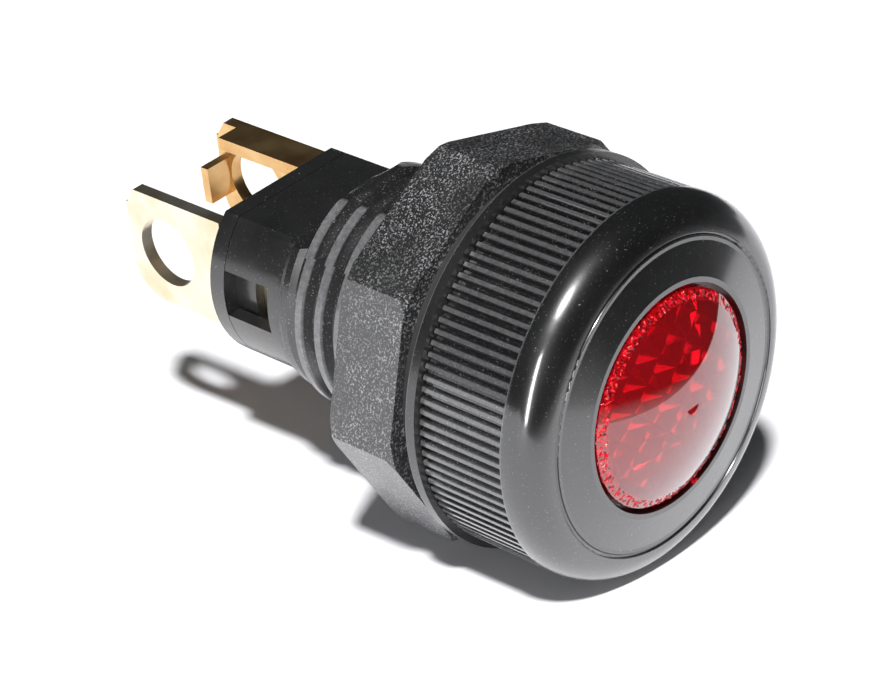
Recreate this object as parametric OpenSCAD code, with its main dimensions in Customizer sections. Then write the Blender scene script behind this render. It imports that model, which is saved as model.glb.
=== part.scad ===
// Panel pilot light: knurled screw bezel, prismatic lens, D-shaped threaded body
// The lamp's axis runs along Y. The lens faces -Y and the body's flat faces +Z.
// Y is zero at the seat, the rear face of the body's flange.

/* [Bezel] */
// Radius over the bezel's ribs
bezel_r = 11.0; // [10.9:0.05:11.2]
// Length of the ribbed grip
grip_len = 5.6; // [5.2:0.1:6.5]
// Number of ribs round the grip
rib_count = 108; // [60:4:132]
// Depth of the grooves between the ribs
rib_depth = 0.3; // [0.15:0.05:0.4]
// Radius of the rounded shoulder in front of the grip
shoulder_r = 1.9; // [1.7:0.1:2.2]
// Width of the plain band between the grip and the shoulder
band_w = 0.25; // [0.15:0.05:0.4]
// Radius of the opening over the lens
opening_r = 6.5; // [6.3:0.1:7.2]
// How far the face rises from the shoulder to the opening
face_rise = 0.4; // [0.1:0.1:0.8]
// Length of the lens pocket behind the face
pocket_len = 1.65; // [1.6:0.05:1.75]

/* [Lens] */
// Radius of the lens's flange
lens_flange_r = 8.2; // [7.6:0.1:8.4]
// Thickness of the lens's flange
lens_flange_t = 1.0; // [0.7:0.1:1.1]
// Height of the dome
dome_h = 1.5; // [0.6:0.1:2.4]
// Spacing of the prism grooves in the back of the lens
prism_pitch = 1.45; // [1.1:0.05:2.4]
// Depth of the prism grooves
prism_depth = 0.6; // [0.3:0.05:0.8]
// Thickness of the lens gasket
lens_gasket_t = 0.7; // [0.4:0.05:0.9]

/* [Body] */
// Radius of the flange that seats on the panel
flange_r = 11.4; // [11.1:0.1:12.5]
// Thickness of the flange
flange_t = 0.6; // [0.5:0.1:1.2]
// Crest radius of the spigot that the bezel screws on
spigot_r = 9.6; // [9.3:0.1:9.9]
// Crest radius of the barrel's thread
thread_r = 7.3; // [7.0:0.1:7.8]
// Depth of the thread
thread_depth = 0.6; // [0.3:0.05:0.7]
// Pitch of both threads
pitch = 1.5; // [1.2:0.1:1.6]
// Number of full turns along the barrel
thread_turns = 9; // [8:1:9]
// Radius of the plain body behind the thread
rear_r = 6.4; // [6.2:0.1:6.6]
// Height of the body's flat above the axis
flat_h = 4.65; // [4.5:0.05:5.2]
// Thickness of the wall under the flat
flat_wall = 0.75; // [0.6:0.05:0.9]
// Length of the body behind its seat
body_len = 18.8; // [18.2:0.1:20]
// Radius of the body's main bore
bore_r = 5.5; // [5.4:0.05:5.6]
// Width of the notch over each terminal
notch_w = 2.9; // [2.4:0.1:3.4]
// Length of the notch over each terminal
notch_len = 3.5; // [2.8:0.1:3.8]
// Height of the notch's middle above the axis
notch_mid = 0.45; // [0:0.05:0.6]

/* [Nut and gasket] */
// Width of the octagonal nut across its flats
nut_af = 21.8; // [20:0.1:24]
// Thickness of the nut
nut_t = 4.45; // [3:0.05:5.5]
// Bevel at the nut's corners
nut_bevel = 0.35; // [0.1:0.05:0.6]
// Turn of the nut about the axis
nut_turn = -6; // [-22:1:22]
// Thickness of the panel gasket
gasket_t = 1.2; // [0.6:0.1:2]
// Outer radius of the panel gasket
gasket_r = 10.3; // [9:0.1:10.8]

/* [Rear cap and terminals] */
// Thickness of the cap's rear disc
cap_t = 1.1; // [0.8:0.1:1.6]
// Length of the cap's plug inside the body
plug_len = 1.6; // [1.2:0.1:2]
// Thickness of the terminal strip
strip_t = 0.8; // [0.6:0.05:0.8]
// Distance from the axis to each terminal's outer face
strip_out = 4.8; // [4.7:0.05:4.9]
// Width of the terminals' inner legs
leg_w = 3.8; // [3:0.1:4]
// Width of the terminals' outer blades
blade_w = 7.2; // [6.3:0.1:7.4]
// Height of the blades' middle above the axis
blade_mid = 0.3; // [0:0.05:0.4]
// Length of the side blade behind the cap
side_len = 8.4; // [7.6:0.1:10]
// Length of the centre blade behind the cap
centre_len = 9.7; // [9.2:0.1:11]
// Radius of the wire hole in each blade
wire_hole_r = 2.2; // [1.2:0.1:2.3]
// Distance from a blade's tip to the middle of its hole
wire_hole_in = 3.1; // [2.8:0.1:3.6]
// Width of the lip folded along the centre blade
lip_w = 1.5; // [1.2:0.1:1.8]
// Width of the tab bent in from the centre blade
tab_w = 2.4; // [1.6:0.1:2.8]
// Reach of the tab bent in from the centre blade
tab_reach = 1.8; // [1:0.1:2.2]

/* [Lamp and holder] */
// Radius of the lamp's screw cap
lamp_cap_r = 2.75; // [2.5:0.05:2.8]
// Radius of the lamp's glass
lamp_glass_r = 2.6; // [2.2:0.05:2.7]
// Length of the lamp's glass in front of its cap
lamp_glass_len = 7.5; // [6:0.5:9]
// Thickness of the brass screw shell
shell_t = 0.25; // [0.2:0.05:0.35]
// Length of the brass screw shell
shell_len = 5.8; // [5:0.1:6]
// Thickness of the insulating washer
washer_t = 0.5; // [0.4:0.05:0.6]

/* [Hidden] */
$fn = 96;
cut = 1;                    // how far a cutter runs past what it cuts
run_clear = 0.06;           // radial clearance of each screwed fit
rub_clear = 0.3;            // clearance of parts that turn past each other
slip = 0.05;                // clearance of parts that are assembled together
bezel_gap = 0.05;           // gap between the bezel and the flange

bezel_back = -flange_t - bezel_gap;
grip_front = bezel_back - grip_len;
band_r = bezel_r + 0.05;    // the plain band stands just proud of the ribs
band_front = grip_front - band_w;
face_y = band_front - shoulder_r;
face_r = band_r - shoulder_r;
lip_y = face_y - face_rise;
groove_r = 0.14;
spigot_front = grip_front + 0.75;
gasket_front = spigot_front - lens_gasket_t;
lens_back = gasket_front;
lens_seat = lens_back - lens_flange_t;
pocket_r = lens_flange_r + rub_clear;
pocket_back = lens_seat + pocket_len;
bezel_bore_r = spigot_r + run_clear;
lens_r = opening_r - rub_clear;
dome_base = lip_y + 0.1;
dome_sphere = (lens_r * lens_r + dome_h * dome_h) / (2 * dome_h);
lamp_well_r = 7.2;
lamp_well_back = -1.2;

thread_start = 0.9;
thread_end = thread_start + thread_turns * pitch;
crest_w = pitch * 0.3;
flank_w = pitch * 0.25;
last_crest = 0.35;          // share of the full depth that the last turn keeps
bore_flat = flat_h - flat_wall;
pad_t = 0.18;
pad_len = 2.2;
pad_start_angle = 47;
pad_sweep = 17;

nut_front = gasket_t;
nut_bore_r = thread_r + run_clear;
nut_corner_r = nut_af / 2 / cos(22.5);
gasket_bore_r = thread_r + rub_clear;

cap_front = body_len + slip;
cap_back = cap_front + cap_t;
plug_front = cap_front - plug_len;
plug_r = bore_r - 2 * slip;
plug_flat = bore_flat - 2 * slip;
strip_in = strip_out - strip_t;
blade_low = blade_mid - blade_w / 2;
blade_high = blade_mid + blade_w / 2;
blade_start = cap_back + 0.35;
side_tip = cap_back + side_len;
centre_tip = cap_back + centre_len;
tip_corner = 2.2;
lip_end = centre_tip - 1.9;
tab_back = centre_tip - 0.2;

foot_t = 0.6;
shell_in = lamp_cap_r + slip;
shell_out = shell_in + shell_t;
washer_front = plug_front - 3.15;
shell_back = washer_front - slip;
shell_front = shell_back - shell_len;
side_foot_back = shell_back;
side_foot_front = side_foot_back - foot_t;
carrier_front = shell_front;
carrier_back = side_foot_front - slip;
lamp_tip = washer_front + washer_t + 0.35;
lamp_cap_back = shell_back;
lamp_cap_front = shell_front + 0.9;
lamp_glass_front = lamp_cap_front - lamp_glass_len;
centre_foot_front = lamp_tip + slip;
centre_foot_w = 3.0;
centre_foot_reach = 1.4;

// Stands a shape that was made along Z along the lamp's axis
module along_axis() {
    rotate([-90, 0, 0]) children();
}

// A block from its lowest to its highest corner
module block(low, high) {
    translate(low) cube(high - low);
}

// A ring or disc between two places on the axis
module ring(inner, outer, from, to) {
    along_axis() translate([0, 0, from]) difference() {
        cylinder(r = outer, h = to - from);
        if (inner > 0) {
            translate([0, 0, -cut]) cylinder(r = inner, h = to - from + 2 * cut);
        }
    }
}

// The D outline of the body: a disc with its top cut off at a height
module d_outline(radius, top) {
    intersection() {
        circle(r = radius);
        translate([-radius - cut, -top]) square([2 * radius + 2 * cut, 2 * radius + top]);
    }
}

// A D-shaped block between two places on the axis
module d_block(radius, top, from, to) {
    along_axis() translate([0, 0, from]) linear_extrude(to - from) d_outline(radius, top);
}

// Crest radius of one turn: the last one runs out towards the plain body
function crest_at(turn, turns, crest, root) =
    turn == turns - 1 ? root + (crest - root) * last_crest : crest;

// A threaded stretch, drawn as one ridge a turn
module thread(crest, root, from, turns, runs_out) {
    ridges = [
        for (turn = [0 : turns - 1])
        let (
            y = from + turn * pitch,
            top = runs_out ? crest_at(turn, turns, crest, root) : crest
        )
        each [
            [root, y],
            [top, y + flank_w],
            [top, y + flank_w + crest_w],
            [root, y + 2 * flank_w + crest_w]
        ]
    ];
    start = [[0, from]];
    end = [[root, from + turns * pitch], [0, from + turns * pitch]];
    along_axis() rotate_extrude() polygon(concat(start, ridges, end));
}

// Outline of the grip, with flat-topped ribs
module rib_outline() {
    step = 360 / rib_count;
    low = bezel_r - rib_depth;
    polygon([
        for (i = [0 : rib_count - 1])
        each [
            for (p = [[0, low], [0.22, bezel_r], [0.58, bezel_r], [0.8, low]])
            [p[1] * cos((i + p[0]) * step), p[1] * sin((i + p[0]) * step)]
        ]
    ]);
}

// Section of the bezel's front: rounded shoulder, ring groove and raised face
module bezel_front_section() {
    difference() {
        union() {
            translate([0, face_y]) square([face_r, grip_front - face_y]);
            translate([0, band_front]) square([band_r, band_w]);
            translate([face_r, band_front]) intersection() {
                circle(r = shoulder_r);
                translate([0, -shoulder_r]) square(shoulder_r);
            }
            polygon([[0, face_y], [face_r - 0.45, face_y], [opening_r + 0.3, lip_y], [0, lip_y]]);
        }
        translate([face_r - 0.1, face_y]) circle(r = groove_r, $fn = 24);
    }
}

module bezel() {
    color([0.12, 0.12, 0.13]) difference() {
        union() {
            along_axis() translate([0, 0, grip_front]) linear_extrude(grip_len) rib_outline();
            along_axis() rotate_extrude() bezel_front_section();
        }
        ring(0, bezel_bore_r, pocket_back, bezel_back + cut);
        ring(0, pocket_r, lens_seat, pocket_back + cut);
        ring(0, opening_r, lip_y - cut, lens_seat + cut);
    }
}

// Section of the lens before its prisms are cut
module lens_section() {
    translate([0, lens_seat]) square([lens_flange_r, lens_flange_t]);
    translate([0, dome_base]) square([lens_r, lens_seat - dome_base + 0.01]);
    intersection() {
        translate([0, dome_base - dome_h + dome_sphere]) circle(r = dome_sphere, $fn = 180);
        translate([0, dome_base - dome_h]) square([lens_r, dome_h + 0.01]);
    }
}

// One straight V groove across the back of the lens
module prism_groove(offset_x) {
    half = prism_pitch / 2;
    translate([offset_x, 0, -lens_r - cut]) linear_extrude(2 * lens_r + 2 * cut)
        polygon([[-half, lens_back + 0.01], [half, lens_back + 0.01], [0, lens_back - prism_depth]]);
}

// Two crossed rows of grooves, which leave a field of small pyramids
module prism_field() {
    rows = floor(lens_r / prism_pitch);
    intersection() {
        union() {
            for (side = [-45, 45]) {
                rotate([0, side, 0]) {
                    for (i = [-rows : rows]) {
                        prism_groove(i * prism_pitch);
                    }
                }
            }
        }
        ring(0, lens_r - 0.2, lens_back - lens_flange_t, lens_back + cut);
    }
}

module lens() {
    color([0.75, 0.02, 0.04, 0.7]) difference() {
        along_axis() rotate_extrude() lens_section();
        prism_field();
    }
}

module lens_gasket() {
    color([0.15, 0.08, 0.07])
        ring(lens_r + 0.7, lens_flange_r, gasket_front, spigot_front);
}

// Slightly raised pad between the flat and the thread
module mould_pad() {
    along_axis() translate([0, 0, thread_end - 0.3])
        rotate([0, 0, -90 - pad_start_angle - pad_sweep])
            rotate_extrude(angle = pad_sweep)
                translate([rear_r - 1.2, 0]) square([1.2 + pad_t, pad_len]);
}

// Notches in the rear edge that show the terminals
module terminal_notches() {
    for (side = [-1, 1]) {
        translate([side * (strip_out + 1.6), body_len - notch_len / 2 + cut / 2, notch_mid])
            cube([3.2, notch_len + cut, notch_w], center = true);
    }
}

module body() {
    spigot_turns = floor((-flange_t - spigot_front) / pitch);
    color([0.1, 0.1, 0.11]) difference() {
        union() {
            ring(0, flange_r, -flange_t, 0);
            ring(0, spigot_r - thread_depth, spigot_front, -flange_t);
            thread(spigot_r, spigot_r - thread_depth, spigot_front, spigot_turns, false);
            ring(0, thread_r - thread_depth, 0, thread_start);
            thread(thread_r, thread_r - thread_depth, thread_start, thread_turns, true);
            ring(0, rear_r, thread_end, body_len);
            mould_pad();
        }
        block(
            [-flange_r, 0, flat_h],
            [flange_r, body_len + cut, flange_r]
        );
        ring(0, lamp_well_r, spigot_front - cut, lamp_well_back);
        d_block(bore_r, bore_flat, lamp_well_back - cut, body_len + cut);
        terminal_notches();
    }
}

module panel_gasket() {
    color([0.05, 0.05, 0.05]) ring(gasket_bore_r, gasket_r, 0, gasket_t);
}

module nut() {
    nut_back = nut_front + nut_t;
    bevel_r = nut_corner_r - nut_bevel;
    color([0.13, 0.13, 0.14]) difference() {
        intersection() {
            along_axis() translate([0, 0, nut_front])
                rotate([0, 0, nut_turn]) cylinder(r = nut_corner_r, h = nut_t, $fn = 8);
            along_axis() rotate_extrude() polygon([
                [0, nut_front],
                [bevel_r, nut_front],
                [nut_corner_r + 0.1, nut_front + nut_bevel],
                [nut_corner_r + 0.1, nut_back - nut_bevel],
                [bevel_r, nut_back],
                [0, nut_back]
            ]);
        }
        ring(0, nut_bore_r, nut_front - cut, nut_back + cut);
    }
}

// Slots through the cap for the two terminal legs
module leg_slots() {
    for (side = [-1, 1]) {
        translate([side * (strip_out + strip_in) / 2, (plug_front + cap_back) / 2, 0])
            cube([strip_t + slip, cap_back - plug_front + 2 * cut, leg_w + slip], center = true);
    }
}

module rear_cap() {
    color([0.11, 0.11, 0.12]) difference() {
        union() {
            d_block(rear_r, flat_h, cap_front, cap_back);
            d_block(plug_r, plug_flat, plug_front, cap_front);
        }
        leg_slots();
    }
}

// Stands an outline drawn in Y and Z on one side, as a sheet-metal strip
module strip(inner_face, thickness) {
    translate([inner_face, 0, 0]) rotate([90, 0, 90]) linear_extrude(thickness) children();
}

// Outline of a blade with one rounded lower corner and its wire hole
module blade_outline(tip) {
    difference() {
        union() {
            translate([blade_start, blade_low]) square([tip - tip_corner - blade_start, blade_w]);
            translate([blade_start, blade_low + tip_corner])
                square([tip - blade_start, blade_w - 2 * tip_corner + 1.2]);
            translate([tip - tip_corner, blade_low + tip_corner]) circle(r = tip_corner);
            polygon([
                [tip - tip_corner, blade_high],
                [tip - 0.8, blade_high],
                [tip, blade_high - 1.2],
                [tip - tip_corner, blade_high - 1.2]
            ]);
        }
        translate([tip - wire_hole_in, blade_mid]) circle(r = wire_hole_r);
    }
}

module side_terminal() {
    color([0.8, 0.58, 0.25]) {
        strip(-strip_out, strip_t) {
            blade_outline(side_tip);
            translate([side_foot_front, -leg_w / 2])
                square([blade_start - side_foot_front + 0.01, leg_w]);
        }
        block(
            [-strip_in - 0.01, side_foot_front, -leg_w / 2],
            [-shell_out - slip, side_foot_back, leg_w / 2]
        );
    }
}

module centre_terminal() {
    color([0.85, 0.6, 0.28]) {
        strip(strip_in, strip_t) {
            blade_outline(centre_tip);
            translate([centre_foot_front, -leg_w / 2])
                square([blade_start - centre_foot_front + 0.01, leg_w]);
        }
        block(
            [strip_out - lip_w - strip_t, blade_start, blade_high - strip_t],
            [strip_in + 0.01, lip_end, blade_high]
        );
        block(
            [strip_in - tab_reach, tab_back - foot_t, blade_mid - tab_w / 2],
            [strip_in + 0.01, tab_back, blade_mid + tab_w / 2]
        );
        block(
            [-centre_foot_reach, centre_foot_front, -centre_foot_w / 2],
            [strip_in + 0.01, centre_foot_front + foot_t, centre_foot_w / 2]
        );
    }
}

module lamp_shell() {
    color([0.82, 0.66, 0.35]) ring(shell_in, shell_out, shell_front, shell_back);
}

module shell_carrier() {
    color([0.85, 0.83, 0.78]) difference() {
        d_block(bore_r - slip, bore_flat - slip, carrier_front, carrier_back);
        ring(0, shell_out + slip, carrier_front - cut, carrier_back + cut);
    }
}

module insulating_washer() {
    color([0.45, 0.2, 0.12]) ring(1.5, strip_in - 0.2, washer_front, washer_front + washer_t);
}

module lamp() {
    neck = lamp_glass_r;
    color([0.9, 0.9, 0.88, 0.8]) along_axis() rotate_extrude() {
        translate([0, lamp_cap_front]) square([lamp_cap_r, lamp_cap_back - lamp_cap_front]);
        translate([0, lamp_cap_back - 0.01]) square([1.1, lamp_tip - lamp_cap_back + 0.01]);
        translate([0, lamp_glass_front + neck])
            square([neck, lamp_cap_front - lamp_glass_front - neck + 0.01]);
        intersection() {
            translate([0, lamp_glass_front + neck]) circle(r = neck);
            translate([0, lamp_glass_front]) square([neck, neck + 0.01]);
        }
    }
}

bezel();
lens();
lens_gasket();
body();
panel_gasket();
nut();
rear_cap();
side_terminal();
centre_terminal();
lamp_shell();
shell_carrier();
insulating_washer();
lamp();
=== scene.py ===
"""Looks of the panel pilot light: moulded black plastic, red prismatic lens and stamped brass."""
import math
import random

import bmesh
import bpy
from mathutils import Matrix, Vector


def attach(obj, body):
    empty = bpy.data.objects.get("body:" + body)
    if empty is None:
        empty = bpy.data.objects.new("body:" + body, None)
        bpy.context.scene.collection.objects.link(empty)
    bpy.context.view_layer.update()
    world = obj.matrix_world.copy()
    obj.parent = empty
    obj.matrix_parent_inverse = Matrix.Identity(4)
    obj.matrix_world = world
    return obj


MM = 0.001

# Camera, in the part's own frame
CAMERA_AT = Vector((-101.6, -94.8, 88.6)) * MM
CAMERA_AZIMUTH = -44.57
CAMERA_ELEVATION = 32.17
CAMERA_ROLL = -6.36
LENS_MM = 123.1
SENSOR_MM = 36.0
CLIP_START = 5 * MM

# The part lies on its side: direction of up, depth of the floor under the axis, the floor's
# corners in metres across and towards the part's rear, and its shade
FLOOR_UP = Vector((0.141, 0.056, 0.989)).normalized()
FLOOR_DEPTH = 11.5 * MM
FLOOR_LOW = Vector((-0.4, -0.034))
FLOOR_HIGH = Vector((0.4, 0.5))
FLOOR_SHADE = 0.93

# Lamps: where they stand or shine from, what they aim at, and their size and strength.
# Places and sizes are in metres, and the key's width in degrees.
KEY_FROM = Vector((-0.40, -0.36, 1.0))
KEY_STRENGTH = 4.7
KEY_WIDTH = 5.0
CARD_AT = Vector((-0.30, -0.16, 0.10))
CARD_AIM = Vector((0, 0.008, 0))
CARD_WIDTH = 0.04
CARD_HEIGHT = 0.22
CARD_POWER = 0.5

# World: a faint light. The camera sees it white. Metal and glass do so too where a ray
# falls more steeply than PALE_BELOW (its share along FLOOR_UP), and not past DARK_ABOVE.
WORLD_SHADE = (0.8, 0.85, 0.9, 1)
WORLD_LIGHT = 0.03
PALE_BELOW = -0.5
DARK_ABOVE = -0.3

# Rough edge of the lens, in mm: the dome's sphere, then the band's reach, steps and roughness
DOME_RADIUS = 13.56
DOME_CENTRE = 3.43
RIM_INNER = 5.55
RIM_OUTER = 6.18
RIM_RINGS = 6
RIM_STEPS = 300
RIM_LIFT = 0.12
RIM_STRAY = 0.07
RIM_TURN_STRAY = 0.3
RIM_SEED = 7

# Thread over the flat, in mm. Its turns lie 0.15 mm behind those of the part's own thread.
THREAD_START = 0.9
THREAD_PITCH = 1.5
THREAD_TURNS = 8
THREAD_CREST = 7.29
THREAD_ROOT = 6.7
THREAD_TURN = (
    (0.15, THREAD_ROOT), (0.525, THREAD_CREST), (0.975, THREAD_CREST), (1.35, THREAD_ROOT),
)
TOP_FOOT = 4.62
TOP_HIGH = 6.8
TOP_STEPS = 48

# Finishes: the shade of the pale specks (dust, and painted glints of light), how much more of
# them the ribs hold, and over how many mm that fades; the gloss of the coats; how rough the brass
# is at its smoothest and dullest; and the grain of plain pieces, per mm and in mm of depth
DUST_AND_GLINT = (0.3, 0.3, 0.31, 1)
DUST_AND_GLINT_ON_RIBS = 0.05
FADE = 0.2
COAT_IOR = 2.0
BRASS_SMOOTH = 0.22
BRASS_DULL = 0.42
PLAIN_PER_MM = 2.0
PLAIN_DEPTH = 0.02

# Sockets of a Mix node that mixes colours
MIX_A = 6
MIX_B = 7
MIX_RESULT = 2

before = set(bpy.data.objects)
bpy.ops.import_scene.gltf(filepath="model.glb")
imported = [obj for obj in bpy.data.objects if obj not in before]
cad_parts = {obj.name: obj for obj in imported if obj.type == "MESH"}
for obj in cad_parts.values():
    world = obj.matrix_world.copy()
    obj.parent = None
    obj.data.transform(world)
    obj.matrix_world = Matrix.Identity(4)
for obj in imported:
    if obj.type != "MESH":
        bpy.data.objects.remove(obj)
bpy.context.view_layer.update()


# ---------------------------------------------------------------- materials

class Shader:
    """A small helper that makes one node material."""

    def __init__(self, name):
        self.material = bpy.data.materials.new(name)
        self.material.use_nodes = True
        self.tree = self.material.node_tree
        self.tree.nodes.clear()
        self.out = self.add("ShaderNodeOutputMaterial")
        self.surface = self.add("ShaderNodeBsdfPrincipled")
        self.join(self.surface, "BSDF", self.out, "Surface")
        self.place = self.add("ShaderNodeTexCoord")

    def add(self, kind, **values):
        made = self.tree.nodes.new(kind)
        for key, value in values.items():
            setattr(made, key, value)
        return made

    def join(self, source, output, target, entry):
        self.tree.links.new(source.outputs[output], target.inputs[entry])

    def set(self, **values):
        for key, value in values.items():
            self.surface.inputs[key.replace("_", " ")].default_value = value

    def noise(self, per_mm, detail=3.0, roughness=0.55):
        made = self.add("ShaderNodeTexNoise")
        made.inputs["Scale"].default_value = per_mm / MM
        made.inputs["Detail"].default_value = detail
        made.inputs["Roughness"].default_value = roughness
        self.join(self.place, "Object", made, "Vector")
        return made

    def ramp(self, source, output, stops):
        made = self.add("ShaderNodeValToRGB")
        band = made.color_ramp
        while len(band.elements) < len(stops):
            band.elements.new(0.5)
        for element, (at, shade) in zip(band.elements, stops):
            element.position = at
            element.color = shade if len(shade) == 4 else (*shade, 1)
        self.join(source, output, made, "Fac")
        return made

    def raised(self, source, stretch, amount):
        """Adds an amount to a noise along one stretch of the axis: more specks there, of dust and
        painted glints.
        """
        start, end = stretch
        split = self.add("ShaderNodeSeparateXYZ")
        self.join(self.place, "Object", split, "Vector")
        ends = []
        for low, high in ((start - FADE, start), (end + FADE, end)):
            edge = self.add("ShaderNodeMapRange")
            edge.inputs["From Min"].default_value = low * MM
            edge.inputs["From Max"].default_value = high * MM
            self.join(split, "Y", edge, "Value")
            ends.append(edge)
        both = self.add("ShaderNodeMath", operation="MULTIPLY")
        self.join(ends[0], "Result", both, 0)
        self.join(ends[1], "Result", both, 1)
        scaled = self.add("ShaderNodeMath", operation="MULTIPLY_ADD")
        self.join(both, "Value", scaled, 0)
        scaled.inputs[1].default_value = amount
        self.join(source, "Fac", scaled, 2)
        return scaled, "Value"

    def worn_and_lit_past(self, radius, start, grain):
        """Mask of what lies past a radius and behind a start on the axis, broken up by a grain:
        the scuffed crests that carry a painted highlight.
        """
        flat = self.add("ShaderNodeVectorMath", operation="MULTIPLY")
        flat.inputs[1].default_value = (1, 0, 1)
        self.join(self.place, "Object", flat, 0)
        length = self.add("ShaderNodeVectorMath", operation="LENGTH")
        self.join(flat, "Vector", length, 0)
        past = self.add("ShaderNodeMapRange")
        past.inputs["From Min"].default_value = (radius - 0.06) * MM
        past.inputs["From Max"].default_value = (radius + 0.02) * MM
        self.join(length, "Value", past, "Value")
        split = self.add("ShaderNodeSeparateXYZ")
        self.join(self.place, "Object", split, "Vector")
        inside = self.add("ShaderNodeMapRange")
        inside.inputs["From Min"].default_value = (start - 0.05) * MM
        inside.inputs["From Max"].default_value = start * MM
        self.join(split, "Y", inside, "Value")
        both = self.add("ShaderNodeMath", operation="MULTIPLY")
        self.join(past, "Result", both, 0)
        self.join(inside, "Result", both, 1)
        broken = self.add("ShaderNodeMath", operation="MULTIPLY")
        self.join(both, "Value", broken, 0)
        self.join(grain, "Fac", broken, 1)
        return broken

    def covered(self, colour, mask, shade):
        """A colour socket that is the given one, and shade where the mask is 1."""
        mix = self.add("ShaderNodeMix", data_type="RGBA")
        self.join(mask, "Value", mix, "Factor")
        self.tree.links.new(colour, mix.inputs[MIX_A])
        mix.inputs[MIX_B].default_value = shade
        return mix.outputs[MIX_RESULT]

    def bump(self, layers):
        """Stacks bumps: each layer is (node, output, strength, depth in mm)."""
        previous = None
        for source, output, strength, depth in layers:
            made = self.add("ShaderNodeBump")
            made.inputs["Strength"].default_value = strength
            made.inputs["Distance"].default_value = depth * MM
            self.join(source, output, made, "Height")
            if previous:
                self.join(previous, "Normal", made, "Normal")
            previous = made
        self.join(previous, "Normal", self.surface, "Normal")


def grey(level):
    """A very slightly bluish grey."""
    return (level, level, level * 1.03, 1)


def moulded_plastic(name, shade, gloss, grain_per_mm, grain_depth, dust_and_glint, specks_per_mm, coat,
                    ribs=None, crest=None, scuff_and_highlight=0.13):
    """Black moulded plastic: a grain in the surface, cloudy wear, and pale specks of dust and
    painted glints.

    ribs is (from, to) in mm along the axis: the stretch with more of the pale specks (dust, and
    painted glints).
    crest is a radius in mm: what stands out past it, behind the start of the ribs,
    is painted in the shade given after it: scuffing, and a painted highlight along the crests."""
    made = Shader(name)
    cloud = made.noise(0.25, 4)
    grain = made.noise(grain_per_mm, 4, 0.65)
    specks = made.noise(specks_per_mm, 2, 0.7)
    patches = made.noise(0.45, 3)
    base = made.ramp(cloud, "Fac", [(0.3, grey(shade * 0.7)), (0.7, grey(shade * 1.4))])
    level, level_out = specks, "Fac"
    if ribs:
        level, level_out = made.raised(specks, ribs, DUST_AND_GLINT_ON_RIBS)
    # Pale specks: dust, and painted glints of light on the grain.
    speck_mask = made.ramp(level, level_out, [(0.70 - dust_and_glint, grey(0)), (0.80 - dust_and_glint, grey(1))])
    patch_mask = made.ramp(patches, "Fac", [(0.38, grey(0.35)), (0.62, grey(1))])
    both = made.add("ShaderNodeMath", operation="MULTIPLY")
    made.join(speck_mask, "Color", both, 0)
    made.join(patch_mask, "Color", both, 1)
    colour = made.covered(base.outputs["Color"], both, DUST_AND_GLINT)
    # Past the crest radius the surface turns paler: scuffing, and a painted highlight on crests
    # and rib tops.
    if crest:
        colour = made.covered(colour, made.worn_and_lit_past(crest, ribs[0], grain), grey(scuff_and_highlight))
    made.tree.links.new(colour, made.surface.inputs["Base Color"])
    rough = made.add("ShaderNodeMapRange")
    rough.inputs["To Min"].default_value = gloss
    rough.inputs["To Max"].default_value = min(1.0, gloss + 0.2)
    made.join(cloud, "Fac", rough, "Value")
    made.join(rough, "Result", made.surface, "Roughness")
    made.bump([(grain, "Fac", 1.0, grain_depth), (both, "Value", 0.6, 0.02)])
    made.set(Coat_Weight=coat, Coat_Roughness=gloss * 0.6, Coat_IOR=COAT_IOR)
    return made.material


def red_lens():
    """Clear red moulded plastic with a glossy face."""
    made = Shader("red_lens")
    ripple = made.noise(0.5, 2)
    made.set(Transmission_Weight=0.82, Roughness=0.04, IOR=1.49)
    made.set(Coat_Weight=1.0, Coat_Roughness=0.03, Coat_IOR=COAT_IOR)
    tint = made.ramp(ripple, "Fac", [(0.3, (0.9, 0.0, 0.006)), (0.7, (1.0, 0.006, 0.02))])
    made.join(tint, "Color", made.surface, "Base Color")
    made.bump([(ripple, "Fac", 0.15, 0.02)])
    return made.material


def brass(name, low, high):
    """Stamped brass, stained in clouds, with a fine grain."""
    made = Shader(name)
    stain = made.noise(0.35, 4)
    fine = made.noise(4.0, 3)
    tint = made.ramp(stain, "Fac", [(0.3, low), (0.65, high)])
    made.join(tint, "Color", made.surface, "Base Color")
    made.set(Metallic=1.0)
    rough = made.add("ShaderNodeMapRange")
    rough.inputs["To Min"].default_value = BRASS_SMOOTH
    rough.inputs["To Max"].default_value = BRASS_DULL
    made.join(stain, "Fac", rough, "Value")
    made.join(rough, "Result", made.surface, "Roughness")
    made.bump([(fine, "Fac", 0.5, 0.006)])
    return made.material


def plain(name, shade, roughness):
    """A dull moulded or pressed material with a fine grain."""
    made = Shader(name)
    mottle = made.noise(PLAIN_PER_MM, 4)
    dark = tuple(c * 0.75 for c in shade)
    tint = made.ramp(mottle, "Fac", [(0.3, dark), (0.7, shade)])
    made.join(tint, "Color", made.surface, "Base Color")
    made.set(Roughness=roughness)
    made.bump([(mottle, "Fac", 0.6, PLAIN_DEPTH)])
    return made.material


def lamp_glass():
    """Frosted clear glass of the sealed lamp."""
    made = Shader("lamp_glass")
    haze = made.noise(1.0, 3)
    tint = made.ramp(haze, "Fac", [(0.3, (0.9, 0.88, 0.84)), (0.7, (0.98, 0.97, 0.94))])
    made.join(tint, "Color", made.surface, "Base Color")
    made.set(Transmission_Weight=0.35, Roughness=0.2, IOR=1.5)
    made.bump([(haze, "Fac", 0.2, 0.01)])
    return made.material


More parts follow.
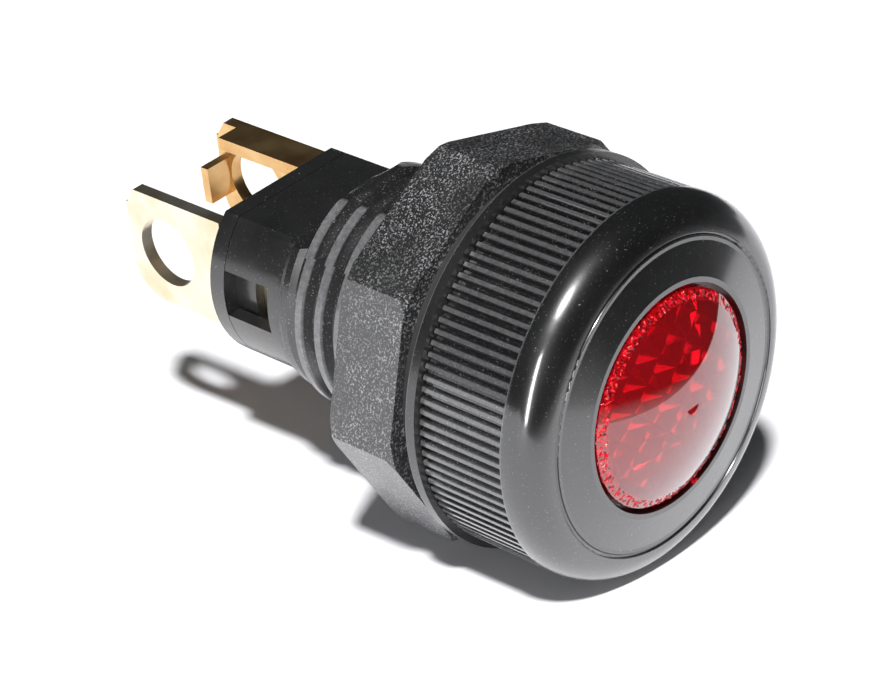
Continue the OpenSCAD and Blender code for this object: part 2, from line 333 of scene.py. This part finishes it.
FINISHES = {
    "bezel": moulded_plastic(
        "bezel_plastic", shade=0.006, gloss=0.22, grain_per_mm=5.0, grain_depth=0.004,
        dust_and_glint=0.04, specks_per_mm=9.0, coat=1.0, ribs=(-6.3, 0.0), crest=10.95),
    "lens": red_lens(),
    "lens_gasket": plain("seal_rubber", (0.1, 0.05, 0.04), 0.7),
    "body": moulded_plastic(
        "body_plastic", shade=0.007, gloss=0.36, grain_per_mm=3.0, grain_depth=0.02,
        dust_and_glint=0.03, specks_per_mm=9.0, coat=0.7, ribs=(0.0, 14.6), crest=7.2, scuff_and_highlight=0.22),
    "panel_gasket": plain("gasket_rubber", (0.02, 0.02, 0.02), 0.8),
    # The nut has the most pale specks: dust, and painted glints on its grain.
    "nut": moulded_plastic(
        "nut_plastic", shade=0.008, gloss=0.42, grain_per_mm=4.5, grain_depth=0.03,
        dust_and_glint=0.17, specks_per_mm=8.0, coat=0.8),
    "rear_cap": moulded_plastic(
        "cap_plastic", shade=0.008, gloss=0.34, grain_per_mm=3.0, grain_depth=0.015,
        dust_and_glint=0.04, specks_per_mm=6.0, coat=0.7),
    # The terminals are differently lit copies of one brass: the side one is paler, a painted sheen
    # of strong light; the centre one is deeper orange, a painted reflection of the brass beside
    # it.
    "side_terminal": brass("side_brass_painted_bright", (0.9, 0.7, 0.42), (1.0, 0.93, 0.78)),
    "centre_terminal": brass("centre_brass_painted_glow", (0.66, 0.34, 0.12), (0.88, 0.6, 0.28)),
    "lamp_shell": brass("shell_brass", (0.7, 0.5, 0.2), (0.85, 0.66, 0.34)),
    "shell_carrier": plain("carrier_plastic", (0.78, 0.75, 0.68), 0.5),
    "insulating_washer": plain("pressed_fibre", (0.34, 0.12, 0.07), 0.85),
    "lamp": lamp_glass(),
}

for node, finish in FINISHES.items():
    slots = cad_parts[node].data.materials
    slots.clear()
    slots.append(finish)


# ---------------------------------------------------------------- added pieces

def placed(name, data):
    """Makes an object of the data and puts it in the scene."""
    made = bpy.data.objects.new(name, data)
    bpy.context.scene.collection.objects.link(made)
    return made


def mesh_of(name, form):
    """Turns a bmesh into a mesh and frees it."""
    mesh = bpy.data.meshes.new(name)
    form.to_mesh(mesh)
    form.free()
    return mesh


def red_flecked_with_painted_glints():
    """Red plastic broken into flecks: the dark ones are painted shade and the pale ones painted
    glints of light.
    """
    finish = Shader("red_flecked_with_painted_glints")
    glint_and_shade_fleck = finish.noise(3.5, 3, 0.7)
    # Near-black flecks are painted shade; pale pink flecks are painted glints.
    tint = finish.ramp(glint_and_shade_fleck, "Fac", [
        (0.38, (0.02, 0.0, 0.002)), (0.5, (0.55, 0.0, 0.01)),
        (0.64, (0.9, 0.02, 0.03)), (0.7, (0.9, 0.6, 0.6)),
    ])
    finish.join(tint, "Color", finish.surface, "Base Color")
    finish.set(Roughness=0.22)
    finish.bump([(glint_and_shade_fleck, "Fac", 1.0, 0.08)])
    return finish.material


def make_lens_edge():
    """Rough, crumbly edge round the dome, where the lens meets the bezel's opening."""
    form = bmesh.new()
    chance = random.Random(RIM_SEED)
    rings = []
    for k in range(RIM_RINGS):
        radius = RIM_INNER + (RIM_OUTER - RIM_INNER) * k / (RIM_RINGS - 1)
        surface = DOME_CENTRE - math.sqrt(DOME_RADIUS ** 2 - radius ** 2)
        ring = []
        for i in range(RIM_STEPS):
            stray = chance.uniform(-RIM_TURN_STRAY, RIM_TURN_STRAY)
            turn = 2 * math.pi * (i + stray) / RIM_STEPS
            away = radius + chance.uniform(-RIM_STRAY, RIM_STRAY)
            lift = chance.uniform(0.0, RIM_LIFT) if 0 < k < RIM_RINGS - 1 else 0.0
            ring.append(form.verts.new((
                away * math.cos(turn) * MM, (surface - lift) * MM, away * math.sin(turn) * MM)))
        rings.append(ring)
    for inner, outer in zip(rings, rings[1:]):
        for i in range(RIM_STEPS):
            j = (i + 1) % RIM_STEPS
            form.faces.new([inner[i], inner[j], outer[j], outer[i]])
    piece = placed("lens_edge", mesh_of("lens_edge", form))
    piece.data.materials.append(red_flecked_with_painted_glints())
    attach(piece, "lens_set")


def make_thread_top():
    """The thread's upper part: on the real body it runs on past the flat to a flat of its own."""
    form = bmesh.new()
    slices = [
        (THREAD_START + k * THREAD_PITCH + along, radius)
        for k in range(THREAD_TURNS) for along, radius in THREAD_TURN
    ]
    rings = []
    for along, radius in slices:
        first = math.asin(TOP_FOOT / radius)
        ring = []
        for i in range(TOP_STEPS + 1):
            turn = first + (math.pi - 2 * first) * i / TOP_STEPS
            height = min(radius * math.sin(turn), TOP_HIGH)
            ring.append(form.verts.new((
                radius * math.cos(turn) * MM, along * MM, height * MM)))
        rings.append(ring)
    for one, two in zip(rings, rings[1:]):
        for i in range(TOP_STEPS + 1):
            j = (i + 1) % (TOP_STEPS + 1)
            form.faces.new([one[i], one[j], two[j], two[i]])
    form.faces.new(rings[0])
    form.faces.new(list(reversed(rings[-1])))
    bmesh.ops.recalc_face_normals(form, faces=form.faces)
    piece = placed("thread_top", mesh_of("thread_top", form))
    piece.data.materials.append(FINISHES["body"])
    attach(piece, "housing")


make_lens_edge()
make_thread_top()


# ---------------------------------------------------------------- camera, floor and light

def make_camera():
    """The camera at the photo's viewing angle."""
    camera = placed("camera", bpy.data.cameras.new("camera"))
    turn = Matrix.Rotation(math.radians(CAMERA_AZIMUTH), 4, "Z")
    tip = Matrix.Rotation(math.radians(90 - CAMERA_ELEVATION), 4, "X")
    roll = Matrix.Rotation(math.radians(CAMERA_ROLL), 4, "Z")
    camera.matrix_world = Matrix.Translation(CAMERA_AT) @ turn @ tip @ roll
    camera.data.lens = LENS_MM
    camera.data.sensor_width = SENSOR_MM
    camera.data.clip_start = CLIP_START
    bpy.context.scene.camera = camera


def floor_frame():
    """Matrix whose Z is the floor's up and whose X runs towards the part's +X."""
    across = Vector((1, 0, 0))
    across = (across - across.dot(FLOOR_UP) * FLOOR_UP).normalized()
    back = FLOOR_UP.cross(across)
    turn = Matrix((across, back, FLOOR_UP)).transposed().to_4x4()
    return Matrix.Translation(-FLOOR_UP * FLOOR_DEPTH) @ turn


def pale_floor():
    """A pale, dull floor that looks white where it is lit."""
    made = Shader("floor")
    speck = made.noise(0.02, 2)
    tint = made.ramp(speck, "Fac", [(0.3, grey(FLOOR_SHADE * 0.98)), (0.7, grey(FLOOR_SHADE))])
    made.join(tint, "Color", made.surface, "Base Color")
    made.set(Roughness=0.9, Specular_IOR_Level=0.2)
    return made.material


def make_floor():
    """The floor under the part. It ends close in front, so that the lens mirrors dark past it."""
    form = bmesh.new()
    corners = [
        (FLOOR_LOW.x, FLOOR_LOW.y), (FLOOR_HIGH.x, FLOOR_LOW.y),
        (FLOOR_HIGH.x, FLOOR_HIGH.y), (FLOOR_LOW.x, FLOOR_HIGH.y),
    ]
    form.faces.new([form.verts.new((x, y, 0)) for x, y in corners])
    floor = placed("floor", mesh_of("floor", form))
    floor.matrix_world = floor_frame()
    floor.data.materials.append(pale_floor())


def make_key():
    """A distant lamp. KEY_WIDTH is how wide it looks, in degrees."""
    lamp = bpy.data.lights.new("key", "SUN")
    lamp.energy = KEY_STRENGTH
    lamp.angle = math.radians(KEY_WIDTH)
    made = placed("key", lamp)
    made.rotation_euler = KEY_FROM.to_track_quat("Z", "Y").to_euler()


def make_front_card():
    """A tall, narrow lamp in front of the lens. Its sizes are in metres."""
    lamp = bpy.data.lights.new("front_card", "AREA")
    lamp.shape = "RECTANGLE"
    lamp.size = CARD_WIDTH
    lamp.size_y = CARD_HEIGHT
    lamp.energy = CARD_POWER
    made = placed("front_card", lamp)
    made.location = CARD_AT
    made.rotation_euler = (CARD_AIM - CARD_AT).to_track_quat("-Z", "Y").to_euler()


def combined(tree, operation, first, second):
    """Output of a Math node that joins two values."""
    made = tree.nodes.new("ShaderNodeMath")
    made.operation = operation
    tree.links.new(first, made.inputs[0])
    tree.links.new(second, made.inputs[1])
    return made.outputs[0]


def make_world():
    """A white background over a faint light."""
    world = bpy.data.worlds.new("world")
    bpy.context.scene.world = world
    world.use_nodes = True
    tree = world.node_tree
    tree.nodes.clear()
    out = tree.nodes.new("ShaderNodeOutputWorld")
    seen = tree.nodes.new("ShaderNodeBackground")
    seen.inputs["Color"].default_value = (1, 1, 1, 1)
    light = tree.nodes.new("ShaderNodeBackground")
    light.inputs["Color"].default_value = WORLD_SHADE
    light.inputs["Strength"].default_value = WORLD_LIGHT
    path = tree.nodes.new("ShaderNodeLightPath")
    place = tree.nodes.new("ShaderNodeTexCoord")
    height = tree.nodes.new("ShaderNodeVectorMath")
    height.operation = "DOT_PRODUCT"
    height.inputs[1].default_value = FLOOR_UP
    tree.links.new(place.outputs["Generated"], height.inputs[0])
    low = tree.nodes.new("ShaderNodeMapRange")
    low.inputs["From Min"].default_value = PALE_BELOW
    low.inputs["From Max"].default_value = DARK_ABOVE
    low.inputs["To Min"].default_value = 1.0
    low.inputs["To Max"].default_value = 0.0
    tree.links.new(height.outputs["Value"], low.inputs["Value"])
    mirrored = combined(
        tree, "MAXIMUM", path.outputs["Is Glossy Ray"], path.outputs["Is Transmission Ray"])
    pale = combined(tree, "MULTIPLY", mirrored, low.outputs["Result"])
    shown = combined(tree, "MAXIMUM", path.outputs["Is Camera Ray"], pale)
    mix = tree.nodes.new("ShaderNodeMixShader")
    tree.links.new(shown, mix.inputs[0])
    tree.links.new(light.outputs[0], mix.inputs[1])
    tree.links.new(seen.outputs[0], mix.inputs[2])
    tree.links.new(mix.outputs[0], out.inputs["Surface"])


make_camera()
make_floor()
make_world()
make_key()
make_front_card()
bpy.context.scene.view_settings.view_transform = "Standard"
